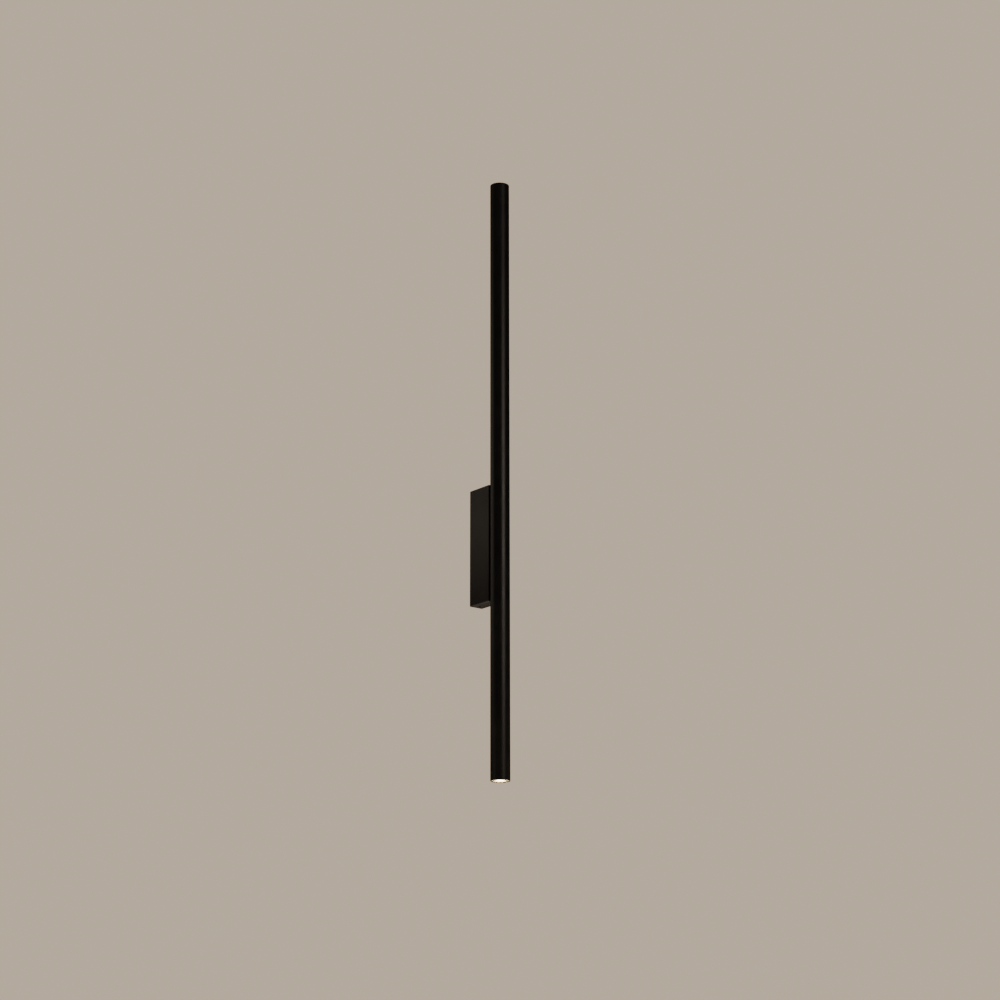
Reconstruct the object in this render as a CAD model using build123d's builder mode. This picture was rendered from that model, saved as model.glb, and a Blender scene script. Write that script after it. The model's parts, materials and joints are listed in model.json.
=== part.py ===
from build123d import *

import os

# A tube wall light: a slim round tube that shines up and down, held off the wall by a narrow box.
# Millimetres, +Z up along the tube. The origin is the centre of the two wall screws, on the wall
# plane y = 0, and the light stands off the wall towards -Y.

# ---------------------------------------------------------------- driving dimensions
tube_diameter = 25.0
tube_wall = 1.0
tube_length = 800.0
tube_to_wall = 50.0  # wall plane to the tube's axis
tube_below_box = 231.0  # the tube's lower end to the box's lower face

box_width = 20.0
box_depth = 39.0
box_height = 154.0
box_wall = 1.5
box_front_wall = 3.0  # deep enough for the seat that the tube lies in
box_end_wall = 3.0  # deep enough for the grub screws' threads
box_edge_radius = 0.8
box_front_bevel = 0.5

bracket_sheet = 1.5
bracket_width = 16.4
bracket_top = 74.0  # the box hangs on the upper tab
bracket_bottom = -73.5
bracket_tab = 13.5  # how far the bent tabs reach from the wall
bracket_bend_radius = 1.5
grub_to_wall = 8.0  # grub screw's axis to the wall

wall_screw_spacing = 120.0
wall_slot_width = 4.5
wall_slot_length = 10.0

tube_screw_height = 42.0  # tube screws above and below the box's middle
nut_bar_length = 100.0
nut_bar_thickness = 5.5

cable_hole_height = -6.0
cable_hole_radius = 5.0
cable_bore_radius = 3.5
wire_hole_height = 67.0
wire_hole_radius = 4.5
wire_bore_radius = 3.0
grommet_flange = 1.5

terminal_height = -30.0  # the terminal block's middle
terminal_width = 15.6
terminal_length = 16.0
terminal_depth = 10.5
terminal_bevel = 1.0
terminal_end_wall = 2.0
terminal_pole = 4.6  # each pole's distance from the middle
terminal_entry = 3.4  # side of the square wire entries
terminal_entry_height = 5.0  # the entries' axis above the bracket
terminal_cell_height = 8.9  # top of the spring cells above the bracket
spring_width = 3.0
foot_width = 8.0  # the block's snap foot, through a window in the bracket
foot_length = 4.0

spring_sheet = 0.4
spring_leaf_end = 1.4  # a leaf's tip above and below the block's middle

earth_height = -47.0
tag_thickness = 0.8
tag_side = 8.0
tag_tail = 6.2  # from the ring's centre to the crimped barrel's axis
barrel_side = 3.6
barrel_length = 6.5

driver_width = 15.0
driver_front = -32.0
driver_back = -11.0
driver_bottom = 4.0
driver_top = 58.0
driver_wall = 1.2
driver_corner = 1.5
driver_rim = 1.0
driver_rail_width = 0.6
driver_rail_length = 30.0
driver_board_back = -28.8
driver_board_thickness = 1.2
driver_pad_width = 13.0
driver_pad_length = 42.0
transformer_height = 30.0
core_width = 11.0
core_length = 12.0
core_sheet = 2.0
bobbin_width = 9.6
bobbin_length = 8.0
can_radius = 4.0
cans = ((17.0, 12.0), (43.0, 11.0))  # each round capacitor's place up the board, and its length
film_height = 50.0
film_width = 9.0
film_thickness = 3.6

mains_wire_radius = 1.1
head_wire_radius = 0.8
mains_wire_bend = 5.0
earth_wire_bend = 4.0
lead_loop_height = -46.0  # the mains leads turn back up to the terminal block here
earth_loop_front = -22.0
earth_loop_back = -17.0
head_wire_bends = [5.0, 5.0, 8.0, 1.6]
head_wire_offset = 9.4  # the wires' distance from the tube's axis, along the tube
solder_offset = 6.0
lead_spacing = 3.0

# A head's depths are measured inwards from the tube's end.
lens_recess = 0.3
lens_flange_depth = 1.5
lens_flange_radius = 11.3
lens_base_depth = 10.2
holder_depth = 9.8
board_depth = 12.0
board_radius = 9.6  # to the corners of the hexagon
board_thickness = 1.6
tape_thickness = 0.3
tape_side = 11.0
slug_length = 40.0
wire_channel_width = 2.4
wire_channel_depth = 4.0
wire_channel_offset = 10.2  # the channels' middles, so that they open on the slug's sides
lens_well_radius = 6.5
lens_well_depth = 2.0
lens_dome_rise = 1.1
flank_start_radius = 10.2
flank_curve_radius = 14.0
lens_base_radius = 4.6
led_well_radius = 2.9
led_well_depth = 2.8
led_well_dome = 0.8
holder_gap = 0.3
holder_floor_radius = 6.4
holder_leg = 2.4
holder_leg_offset = 8.9
emitter_side = 3.4
emitter_base = 0.7
phosphor_side = 2.6
phosphor_rise = 0.5

# ---------------------------------------------------------------- places worked out from these
tube_radius = tube_diameter / 2
tube_bore = tube_radius - tube_wall
tube_bottom = -box_height / 2 - tube_below_box
tube_top = tube_bottom + tube_length
tube_back = tube_radius - tube_to_wall
tube_inside_back = tube_back - tube_wall
box_inside_front = box_front_wall - box_depth
wire_sides = 6  # hidden leads are kept light

m3 = 1.5  # screw radii
m4 = 2.0
m3_clearance = 1.6
m4_clearance = 2.15
m4_across_flats = 7.0
head_height_ratio = 0.4  # a hexagon head's height, as a part of its width
tube_screw_length = 10.0
earth_screw_length = 2.2
grub_length = 5.0
grub_recess = 0.3


def facing(depth, height=0.0):
    """Plane parallel to the wall, looking at the room: its X is world X and its Y is world Z."""
    return Plane(origin=(0, depth, height), x_dir=(1, 0, 0), z_dir=(0, -1, 0))


def wallward(depth, height=0.0):
    """Plane parallel to the wall, looking at the wall."""
    return Plane(origin=(0, depth, height), x_dir=(-1, 0, 0), z_dir=(0, 1, 0))


def head_plane(side, depth=0.0):
    """Plane across the tube, a depth inside its upper (1) or lower (-1) end, looking out of it."""
    end = tube_top if side > 0 else tube_bottom
    return Plane(
        origin=(0, -tube_to_wall, end - side * depth), x_dir=(side, 0, 0), z_dir=(0, 0, side)
    )


def head_profile(side):
    """Plane through a head's axis: X is the radius, and Y points out of the tube."""
    return Plane(origin=head_plane(side).origin, x_dir=(1, 0, 0), z_dir=(0, -side, 0))


def keep(piece, name):
    """Label a finished piece and write it."""
    piece.part.label = name
    export_step(piece.part, f"parts/{name}.step")


def hexagon_screws(planes, length):
    """M4 screws with a hexagon head on each plane, which looks at the spanner."""
    with BuildPart() as screws:
        for plane in planes:
            with BuildSketch(plane):
                RegularPolygon(m4_across_flats / 2, 6, major_radius=False)
            extrude(amount=head_height_ratio * m4_across_flats)
            with BuildSketch(plane):
                Circle(m4)
            extrude(amount=-length)
    return screws


def grommet(plane, hole_radius, bore_radius, sleeve):
    """Rubber bush: a sleeve through the wall behind the plane, and a flange in front of it."""
    with BuildPart() as bush:
        with BuildSketch(plane):
            Circle(hole_radius + grommet_flange)
        extrude(amount=grommet_flange)
        with BuildSketch(plane):
            Circle(hole_radius)
        extrude(amount=-sleeve)
        with BuildSketch(plane.offset(grommet_flange)):
            Circle(bore_radius)
        extrude(amount=-sleeve - grommet_flange, mode=Mode.SUBTRACT)
    return bush


def wire(points, bends, radius):
    """Insulated wire on straight runs joined by tangent arcs."""
    with BuildPart() as lead:
        with BuildLine() as route:
            FilletPolyline(*points, radius=bends)
        with BuildSketch(Plane(origin=route.line @ 0, z_dir=route.line % 0)):
            RegularPolygon(radius, wire_sides)
        sweep(path=route.line)
    return lead


os.makedirs("parts", exist_ok=True)

# ---------------------------------------------------------------- tube
with BuildPart() as tube:
    with BuildSketch(Plane.XY.offset(tube_bottom)):
        with Locations((0, -tube_to_wall)):
            Circle(tube_radius)
            Circle(tube_bore, mode=Mode.SUBTRACT)
    extrude(amount=tube_length)
    # Back wall: two holes for the tube screws and one for the wires.
    with BuildSketch(facing(box_inside_front)):
        with Locations((0, tube_screw_height), (0, -tube_screw_height)):
            Circle(m4_clearance)
        with Locations((0, wire_hole_height)):
            Circle(wire_hole_radius)
    extrude(amount=tube_radius / 2, mode=Mode.SUBTRACT)
keep(tube, "tube")

# ---------------------------------------------------------------- wall box
with BuildPart() as wall_box:
    with BuildSketch(Plane.XY.offset(-box_height / 2)):
        with Locations((0, -box_depth / 2)):
            Rectangle(box_width, box_depth)
    extrude(amount=box_height)
    # The four corners are rounded, and the front edge is bevelled.
    fillet(wall_box.edges().filter_by(Axis.Y), box_edge_radius)
    chamfer(wall_box.faces().sort_by(Axis.Y)[0].edges(), box_front_bevel)
    with BuildSketch(facing(0)):
        Rectangle(box_width - 2 * box_wall, box_height - 2 * box_end_wall)
    extrude(amount=-box_inside_front, mode=Mode.SUBTRACT)
    # The round seat down the front, in which the tube lies.
    with BuildSketch(Plane.XY.offset(-box_height / 2)):
        with Locations((0, -tube_to_wall)):
            Circle(tube_radius)
    extrude(amount=box_height, mode=Mode.SUBTRACT)
    with BuildSketch(facing(box_inside_front)):
        with Locations((0, tube_screw_height), (0, -tube_screw_height)):
            Circle(m4_clearance)
        with Locations((0, wire_hole_height)):
            Circle(wire_hole_radius)
    extrude(amount=box_front_wall, mode=Mode.SUBTRACT)
    # Threaded hole for the grub screw, through the lower end wall.
    with BuildSketch(Plane.XY.offset(-box_height / 2)):
        with Locations((0, -grub_to_wall)):
            Circle(m3)
    extrude(amount=box_end_wall, mode=Mode.SUBTRACT)
keep(wall_box, "wall_box")

# ---------------------------------------------------------------- wall bracket
bracket_height = bracket_top - bracket_bottom
bracket_middle = (bracket_top + bracket_bottom) / 2
with BuildPart() as wall_bracket:
    with BuildSketch(Plane.YZ.offset(-bracket_width / 2)):
        with Locations((-bracket_tab / 2, bracket_middle)):
            Rectangle(bracket_tab, bracket_height)
        with Locations((-(bracket_tab + bracket_sheet) / 2, bracket_middle)):
            Rectangle(
                bracket_tab - bracket_sheet, bracket_height - 2 * bracket_sheet, mode=Mode.SUBTRACT
            )
        fillet(vertices().group_by(Axis.X)[-1], bracket_bend_radius + bracket_sheet)
        fillet(vertices().group_by(Axis.X)[-2], bracket_bend_radius)
    extrude(amount=bracket_width)
    with BuildSketch(facing(0)):
        with Locations((0, wall_screw_spacing / 2), (0, -wall_screw_spacing / 2)):
            SlotOverall(wall_slot_length, wall_slot_width, rotation=90)
        with Locations((0, cable_hole_height)):
            Circle(cable_hole_radius)
        with Locations((0, terminal_height)):
            Rectangle(foot_width, foot_length)
        with Locations((0, earth_height)):
            Circle(m4)
    extrude(amount=bracket_sheet, mode=Mode.SUBTRACT)
    # Hole in the lower tab, which the grub screw's tip enters.
    with BuildSketch(Plane.XY.offset(bracket_bottom)):
        with Locations((0, -grub_to_wall)):
            Circle(m3_clearance)
    extrude(amount=bracket_sheet, mode=Mode.SUBTRACT)
keep(wall_bracket, "wall_bracket")

with BuildPart() as box_grub_screw:
    with BuildSketch(Plane.XY.offset(-box_height / 2 + grub_recess)):
        with Locations((0, -grub_to_wall)):
            Circle(m3)
    extrude(amount=grub_length)
    with BuildSketch(Plane.XY.offset(-box_height / 2 + grub_recess)):
        with Locations((0, -grub_to_wall)):
            RegularPolygon(0.6 * m3, 6)
    extrude(amount=m3, mode=Mode.SUBTRACT)
keep(box_grub_screw, "box_grub_screw")

# ---------------------------------------------------------------- tube fixing
with BuildPart() as nut_bar:
    with BuildSketch(Plane.XY.offset(-nut_bar_length / 2)):
        with Locations((0, -tube_to_wall)):
            Circle(tube_bore)
    extrude(amount=nut_bar_length)
    split(bisect_by=facing(tube_inside_back - nut_bar_thickness), keep=Keep.BOTTOM)
    with BuildSketch(facing(tube_inside_back)):
        with Locations((0, tube_screw_height), (0, -tube_screw_height)):
            Circle(m4)
    extrude(amount=nut_bar_thickness, mode=Mode.SUBTRACT)
keep(nut_bar, "nut_bar")

# The upper screw's head lies on the box, and the lower one's on an earth tag.
tube_screw_planes = [
    wallward(box_inside_front, tube_screw_height),
    wallward(box_inside_front + tag_thickness, -tube_screw_height),
]
keep(hexagon_screws(tube_screw_planes, tube_screw_length), "tube_screws")

# ---------------------------------------------------------------- grommets
cable_plane = facing(-bracket_sheet, cable_hole_height)
keep(grommet(cable_plane, cable_hole_radius, cable_bore_radius, bracket_sheet), "cable_grommet")

wire_plane = wallward(box_inside_front, wire_hole_height)
wire_sleeve = box_inside_front - tube_inside_back + grommet_flange
keep(grommet(wire_plane, wire_hole_radius, wire_bore_radius, wire_sleeve), "wire_grommet")

# ---------------------------------------------------------------- terminal block
terminal_top = terminal_height + terminal_length / 2
entry_depth = -bracket_sheet - terminal_entry_height
cell_front = -bracket_sheet - terminal_cell_height
cell_back = entry_depth + terminal_entry / 2
with BuildPart() as terminal_block:
    with BuildSketch(facing(-bracket_sheet, terminal_height)):
        Rectangle(terminal_width, terminal_length)
        chamfer(vertices(), terminal_bevel)
    extrude(amount=terminal_depth)
    # A cell for each pole's spring, and a square wire entry at both of its ends.
    with BuildSketch(facing(cell_back, terminal_height)):
        with GridLocations(2 * terminal_pole, 0, 2, 1):
            Rectangle(terminal_entry, terminal_length - 2 * terminal_end_wall)
    extrude(amount=cell_back - cell_front, mode=Mode.SUBTRACT)
    with BuildSketch(Plane.XY.offset(terminal_top)):
        with Locations((-terminal_pole, entry_depth), (terminal_pole, entry_depth)):
            Rectangle(terminal_entry, terminal_entry)
    extrude(amount=-terminal_length, mode=Mode.SUBTRACT)
    with BuildSketch(facing(-bracket_sheet, terminal_height)):
        Rectangle(foot_width, foot_length)
    extrude(amount=-bracket_sheet)
keep(terminal_block, "terminal_block")

spring_reach = terminal_height + terminal_length / 2 - terminal_end_wall
spring_tip = entry_depth - mains_wire_radius
leaf_end = terminal_height + spring_leaf_end
with BuildPart() as terminal_springs:
    for pole in (-terminal_pole, terminal_pole):
        # A bent strip: its back lies on the cell's front, and its two leaves press on the wires.
        with BuildSketch(Plane.YZ.offset(pole - spring_width / 2)):
            with BuildLine():
                half = Polyline(
                    (cell_front, terminal_height),
                    (cell_front, spring_reach),
                    (cell_front + spring_sheet, spring_reach),
                    (spring_tip, leaf_end),
                    (spring_tip, leaf_end - spring_sheet),
                    (cell_front + spring_sheet, spring_reach - spring_sheet),
                    (cell_front + spring_sheet, terminal_height),
                )
                mirror(half, about=Plane.XZ.offset(-terminal_height))
            make_face()
        extrude(amount=spring_width)
keep(terminal_springs, "terminal_springs")

# ---------------------------------------------------------------- earth bond
tag_planes = [
    Plane(origin=(0, -bracket_sheet, earth_height), x_dir=(0, 0, 1), z_dir=(0, -1, 0)),
    Plane(origin=(0, box_inside_front, -tube_screw_height), x_dir=(0, 0, 1), z_dir=(0, 1, 0)),
]
with BuildPart() as earth_tags:
    for plane in tag_planes:
        with BuildSketch(plane):
            Rectangle(tag_side, tag_side)
            with Locations((tag_tail / 2, 0)):
                Rectangle(tag_tail + barrel_side, barrel_side)
            Circle(m4_clearance, mode=Mode.SUBTRACT)
        extrude(amount=tag_thickness)
        with BuildSketch(plane.offset(tag_thickness)):
            with Locations((tag_tail, 0)):
                Rectangle(barrel_side, barrel_side)
                Rectangle(2 * mains_wire_radius, 2 * mains_wire_radius, mode=Mode.SUBTRACT)
        extrude(amount=barrel_length - tag_thickness)
keep(earth_tags, "earth_tags")

earth_screw_plane = facing(-bracket_sheet - tag_thickness, earth_height)
keep(hexagon_screws([earth_screw_plane], earth_screw_length), "earth_screw")

earth_low = earth_height + tag_tail
earth_high = tag_tail - tube_screw_height
earth_points = [
    (0, -bracket_sheet - tag_thickness, earth_low),
    (0, earth_loop_back, earth_low),
    (0, earth_loop_front, earth_high),
    (0, box_inside_front + tag_thickness, earth_high),
]
keep(wire(earth_points, [earth_wire_bend] * 2, mains_wire_radius), "earth_wire")

# ---------------------------------------------------------------- mains leads
mains_depth = driver_board_back + mains_wire_radius
for pole, name in ((-terminal_pole, "live_wire"), (terminal_pole, "neutral_wire")):
    points = [
        (pole, mains_depth, driver_bottom + mains_wire_bend),
        (pole, mains_depth, lead_loop_height),
        (pole, entry_depth, lead_loop_height),
        (pole, entry_depth, terminal_height - spring_sheet),
    ]
    keep(wire(points, [mains_wire_bend] * 2, mains_wire_radius), name)

# ---------------------------------------------------------------- driver
driver_half = driver_width / 2
driver_length = driver_top - driver_bottom
driver_middle = (driver_top + driver_bottom) / 2
driver_inside = driver_width - 2 * driver_wall
driver_inside_length = driver_length - 2 * driver_wall
driver_cover_back = driver_front + driver_wall
output_depth = driver_board_back + head_wire_radius
leads = [(-lead_spacing / 2, output_depth), (lead_spacing / 2, output_depth)]
mains_places = [(-terminal_pole, mains_depth), (terminal_pole, mains_depth)]

with BuildPart() as driver_case:
    with BuildSketch(facing(driver_back, driver_middle)):
        Rectangle(driver_width, driver_length)
        chamfer(vertices(), driver_corner)
    extrude(amount=driver_back - driver_cover_back)
    with BuildSketch(facing(driver_back - driver_wall, driver_middle)):
        Rectangle(driver_inside, driver_inside_length)
    extrude(amount=driver_back - driver_wall - driver_cover_back, mode=Mode.SUBTRACT)
    # Two rails that the board lies on.
    with BuildSketch(facing(driver_back - driver_wall, driver_middle)):
        with GridLocations(driver_inside - driver_rail_width, 0, 2, 1):
            Rectangle(driver_rail_width, driver_rail_length)
    extrude(amount=driver_back - driver_wall - driver_board_back)
    # Wire exits in the two end walls.
    with BuildSketch(Plane.XY.offset(driver_bottom)):
        with Locations(*mains_places):
            Rectangle(2 * mains_wire_radius, 2 * mains_wire_radius)
    extrude(amount=driver_wall, mode=Mode.SUBTRACT)
    with BuildSketch(Plane.XY.offset(driver_top - driver_wall)):
        with Locations(*leads):
            Rectangle(2 * head_wire_radius, 2 * head_wire_radius)
    extrude(amount=driver_wall, mode=Mode.SUBTRACT)
keep(driver_case, "driver_case")

with BuildPart() as driver_cover:
    with BuildSketch(facing(driver_cover_back, driver_middle)):
        Rectangle(driver_width, driver_length)
        chamfer(vertices(), driver_corner)
    extrude(amount=driver_wall)
    # The rim that drops inside the case and holds the board down.
    with BuildSketch(facing(driver_cover_back, driver_middle)):
        Rectangle(driver_inside, driver_inside_length)
        Rectangle(
            driver_inside - 2 * driver_rim, driver_inside_length - 2 * driver_rim, mode=Mode.SUBTRACT
        )
    extrude(amount=driver_cover_back - driver_board_back + driver_board_thickness)
keep(driver_cover, "driver_cover")

with BuildPart() as driver_board:
    with BuildSketch(facing(driver_board_back, driver_middle)):
        Rectangle(driver_inside, driver_inside_length)
    extrude(amount=driver_board_thickness)
keep(driver_board, "driver_board")

# A ferrite core, its two plates and two outer legs, round the wound bobbin.
core_back = driver_board_back + core_sheet
with BuildPart() as driver_transformer:
    for depth in (driver_board_back, core_back + bobbin_length):
        with BuildSketch(wallward(depth, transformer_height)):
            Rectangle(core_width, core_length)
        extrude(amount=core_sheet)
    with BuildSketch(wallward(core_back, transformer_height)):
        Rectangle(bobbin_width, bobbin_length)
        with GridLocations(0, core_length - core_sheet, 1, 2):
            Rectangle(core_width, core_sheet)
    extrude(amount=bobbin_length)
keep(driver_transformer, "driver_transformer")

with BuildPart() as driver_capacitors:
    for height, tall in cans:
        with BuildSketch(wallward(driver_board_back, height)):
            Circle(can_radius)
        extrude(amount=tall)
    with BuildSketch(wallward(driver_board_back, film_height)):
        Rectangle(film_width, film_thickness)
    extrude(amount=film_width)
keep(driver_capacitors, "driver_capacitors")

# Foam tape between the driver and the box's side.
with BuildPart() as driver_pad:
    with BuildSketch(Plane.YZ.offset(driver_half)):
        with Locations(((driver_front + driver_back) / 2, driver_middle)):
            Rectangle(driver_pad_width, driver_pad_length)
    extrude(amount=box_width / 2 - box_wall - driver_half)
keep(driver_pad, "driver_pad")

# ---------------------------------------------------------------- wires to the heads
wire_end_depth = board_depth - head_wire_radius
wire_ends = {side: head_plane(side, wire_end_depth).origin.Z for side in (1, -1)}
driver_wire_start = driver_top - driver_wall - head_wire_bends[0] / 2
head_leads = ((1, lead_spacing / 2, 13.0, "feed_wire"), (-1, -lead_spacing / 2, 18.0, "return_wire"))
for side, lead, spread, name in head_leads:
    points = [
        (lead, output_depth, driver_wire_start),
        (lead, output_depth, wire_hole_height),
        (lead, -tube_to_wall, wire_hole_height),
        (head_wire_offset, -tube_to_wall, wire_hole_height + side * spread),
        (head_wire_offset, -tube_to_wall, wire_ends[side]),
        (solder_offset, -tube_to_wall, wire_ends[side]),
    ]
    keep(wire(points, head_wire_bends, head_wire_radius), name)

# The two heads are in series, so one wire runs from head to head.
link_points = [
    (-solder_offset, -tube_to_wall, wire_ends[1]),
    (-head_wire_offset, -tube_to_wall, wire_ends[1]),
    (-head_wire_offset, -tube_to_wall, wire_ends[-1]),
    (-solder_offset, -tube_to_wall, wire_ends[-1]),
]
keep(wire(link_points, head_wire_bends[-1:] * 2, head_wire_radius), "link_wire")


# ---------------------------------------------------------------- heads, one in each end of the tube
tube_axis = Axis((0, -tube_to_wall, 0), (0, 0, 1))

with BuildPart() as lenses:
    for side in (1, -1):
        with BuildSketch(head_profile(side)):
            with BuildLine():
                # The sunk central lens, the well round it and the flange.
                dome_rim = (lens_well_radius, -lens_well_depth)
                TangentArc((0, lens_dome_rise - lens_well_depth), dome_rim, tangent=(1, 0))
                Polyline(
                    dome_rim,
                    (lens_well_radius, -lens_recess),
                    (lens_flange_radius, -lens_recess),
                    (lens_flange_radius, -lens_flange_depth),
                    (flank_start_radius, -lens_flange_depth),
                )
                # The curved flank, which reflects the light forwards.
                RadiusArc(
                    (flank_start_radius, -lens_flange_depth),
                    (lens_base_radius, -lens_base_depth),
                    flank_curve_radius,
                )
                # The well over the LED, with a domed end.
                well_rim = (led_well_radius, led_well_depth - lens_base_depth)
                Polyline(
                    (lens_base_radius, -lens_base_depth), (led_well_radius, -lens_base_depth), well_rim
                )
                well_top = (0, well_rim[1] + led_well_dome)
                TangentArc(well_top, well_rim, tangent=(1, 0))
                Line(well_top, (0, lens_dome_rise - lens_well_depth))
            make_face()
        revolve(axis=tube_axis)
keep(lenses, "lenses")

# Each cup carries a lens's flange and stands on its board on four legs.
with BuildPart() as lens_holders:
    for side in (1, -1):
        with BuildSketch(head_profile(side)):
            with BuildLine():
                holder_rim = (flank_start_radius + holder_gap, -lens_flange_depth)
                Polyline(
                    (holder_floor_radius, -holder_depth),
                    (lens_flange_radius, -holder_depth),
                    (lens_flange_radius, -lens_flange_depth),
                    holder_rim,
                )
                RadiusArc(holder_rim, (holder_floor_radius, -holder_depth), flank_curve_radius)
            make_face()
        revolve(axis=tube_axis)
        with BuildSketch(head_plane(side, board_depth)):
            with PolarLocations(holder_leg_offset, 4, start_angle=45):
                Rectangle(holder_leg, holder_leg)
        extrude(amount=board_depth - holder_depth)
keep(lens_holders, "lens_holders")


def led_emitter(side):
    """Square ceramic base with a smaller square of phosphor on it."""
    with BuildPart() as piece:
        with BuildSketch(head_plane(side, board_depth)):
            Rectangle(emitter_side, emitter_side)
        extrude(amount=emitter_base)
        with BuildSketch(head_plane(side, board_depth - emitter_base)):
            Rectangle(phosphor_side, phosphor_side)
        extrude(amount=phosphor_rise)
    return piece


def led_board(side):
    """Six-cornered metal-core board, its flats beside the two wires."""
    with BuildPart() as piece:
        with BuildSketch(head_plane(side, board_depth)):
            RegularPolygon(board_radius, 6, rotation=30)
        extrude(amount=-board_thickness)
    return piece


def thermal_tape(side):
    """Adhesive square between the board and the slug."""
    with BuildPart() as piece:
        with BuildSketch(head_plane(side, board_depth + board_thickness)):
            Rectangle(tape_side, tape_side)
        extrude(amount=-tape_thickness)
    return piece


# Slugs pressed into the tube, with a wire channel down each side.
with BuildPart() as heat_sinks:
    for side in (1, -1):
        with BuildSketch(head_plane(side, board_depth + board_thickness + tape_thickness)):
            Circle(tube_bore)
            with GridLocations(2 * wire_channel_offset, 0, 2, 1):
                Rectangle(wire_channel_depth, wire_channel_width, mode=Mode.SUBTRACT)
        extrude(amount=-slug_length)
keep(heat_sinks, "heat_sinks")


for side, end_name in ((1, "upper"), (-1, "lower")):
    keep(led_emitter(side), f"{end_name}_led_emitter")
    keep(led_board(side), f"{end_name}_led_board")
    keep(thermal_tape(side), f"{end_name}_thermal_tape")
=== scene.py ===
import functools
import json
import math

import bmesh
import bpy
from bpy.props import FloatProperty, FloatVectorProperty, PointerProperty
from mathutils import Matrix, Quaternion, Vector


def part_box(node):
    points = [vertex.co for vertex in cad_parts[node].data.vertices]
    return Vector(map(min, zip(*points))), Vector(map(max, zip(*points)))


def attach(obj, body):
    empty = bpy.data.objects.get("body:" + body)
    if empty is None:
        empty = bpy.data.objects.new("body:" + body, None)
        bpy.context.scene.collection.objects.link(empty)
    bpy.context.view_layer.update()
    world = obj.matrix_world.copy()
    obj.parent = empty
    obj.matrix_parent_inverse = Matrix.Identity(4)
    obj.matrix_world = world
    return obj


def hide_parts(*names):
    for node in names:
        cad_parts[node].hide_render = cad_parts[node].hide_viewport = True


bl_info = {
    "name": "Tube wall light",
    "version": (1, 0, 0),
    "blender": (4, 5, 0),
    "location": "3D Viewport > Sidebar > Tube light",
    "description": "Builds the pieces, finishes and studio of a slim up-and-down wall light",
    "category": "Object",
}

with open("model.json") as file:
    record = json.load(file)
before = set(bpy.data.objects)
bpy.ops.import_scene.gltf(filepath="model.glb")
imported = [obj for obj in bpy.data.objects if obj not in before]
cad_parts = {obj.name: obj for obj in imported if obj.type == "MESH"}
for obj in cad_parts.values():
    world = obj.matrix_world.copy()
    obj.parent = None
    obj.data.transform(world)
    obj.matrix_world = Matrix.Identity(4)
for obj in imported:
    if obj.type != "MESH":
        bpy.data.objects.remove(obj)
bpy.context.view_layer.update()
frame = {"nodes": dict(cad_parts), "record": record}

MM = 0.001
BODY = "root"  # the light is fixed, so every piece rides on its one body
TURN = 2 * math.pi
UPRIGHT = Matrix.Rotation(math.radians(90), 4, "X")  # stands a flat outline up, facing the room
SHARP = 35.0  # in degrees: an edge that turns more than this shows as an edge


def linear(hex_colour):
    """Turns an sRGB hex colour into linear red, green, blue and alpha."""
    values = []
    for start in (1, 3, 5):
        level = int(hex_colour[start:start + 2], 16) / 255
        values.append(level / 12.92 if level <= 0.04045 else ((level + 0.055) / 1.055) ** 2.4)
    return (*values, 1.0)


# ---- sizes taken from the frame
tube_low, tube_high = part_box("tube")
box_low, box_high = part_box("wall_box")
bracket_low, bracket_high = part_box("wall_bracket")
screws_low, screws_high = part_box("tube_screws")
earth_screw_low, earth_screw_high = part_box("earth_screw")
grub_low, grub_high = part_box("box_grub_screw")
cable_grommet_low, cable_grommet_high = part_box("cable_grommet")
wire_grommet_low, wire_grommet_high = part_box("wire_grommet")
block_low, block_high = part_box("terminal_block")

TUBE_AXIS = (tube_low + tube_high) / 2
TUBE_RADIUS = (tube_high.x - tube_low.x) / 2
TUBE_PLACE = Matrix.Translation((TUBE_AXIS.x, TUBE_AXIS.y, 0))
TUBE_SIDES = 144  # flats that make up its circle
GRUB = (grub_low + grub_high) / 2
GRUB_RADIUS = (grub_high.x - grub_low.x) / 2
GRUB_PITCH = 0.5 * MM
GRUB_BEVEL = 0.2 * MM
CABLE_HOLE = (cable_grommet_low + cable_grommet_high) / 2
WIRE_HOLE = (wire_grommet_low + wire_grommet_high) / 2
EARTH_SCREW = (earth_screw_low + earth_screw_high) / 2

M4 = 2.0 * MM  # radius of the screws that hold the tube, and of the earth screw
M4_PITCH = 0.7 * MM
M4_HOLE = 2.15 * MM
M4_FLATS = 7.0 * MM  # across the flats of their heads
M4_HEAD = 2.8 * MM  # the height of their heads
SCREW_HEIGHT = screws_high.z - M4_FLATS / 2  # the tube screws, above and below the middle
GROMMET_LIP = 1.5 * MM
CABLE_HOLE_RADIUS = (cable_grommet_high.x - cable_grommet_low.x) / 2 - GROMMET_LIP
WIRE_HOLE_RADIUS = (wire_grommet_high.x - wire_grommet_low.x) / 2 - GROMMET_LIP
# The holes through the tube's back and the box's front: each one's radius and height.
BACK_HOLES = (
    (M4_HOLE, SCREW_HEIGHT), (M4_HOLE, -SCREW_HEIGHT), (WIRE_HOLE_RADIUS, WIRE_HOLE.z),
)


# ---- settings that a user changes
class TubeSettings(bpy.types.PropertyGroup):
    wall: FloatProperty(
        name="Wall", description="Thickness of the tube's wall", default=1.0 * MM, unit="LENGTH"
    )
    rim_round: FloatProperty(
        name="Rim rounding", description="Radius of the coated rims", default=0.28 * MM,
        unit="LENGTH",
    )
    coat_colour: FloatVectorProperty(
        name="Coat", description="Colour of the powder coat", default=linear("#0b0a0a"),
        subtype="COLOR", size=4, min=0, max=1,
    )
    coat_cloud: FloatVectorProperty(
        name="Coat clouds", description="Where the powder coat lies a little thicker",
        default=linear("#100f0e"), subtype="COLOR", size=4, min=0, max=1,
    )


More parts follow.
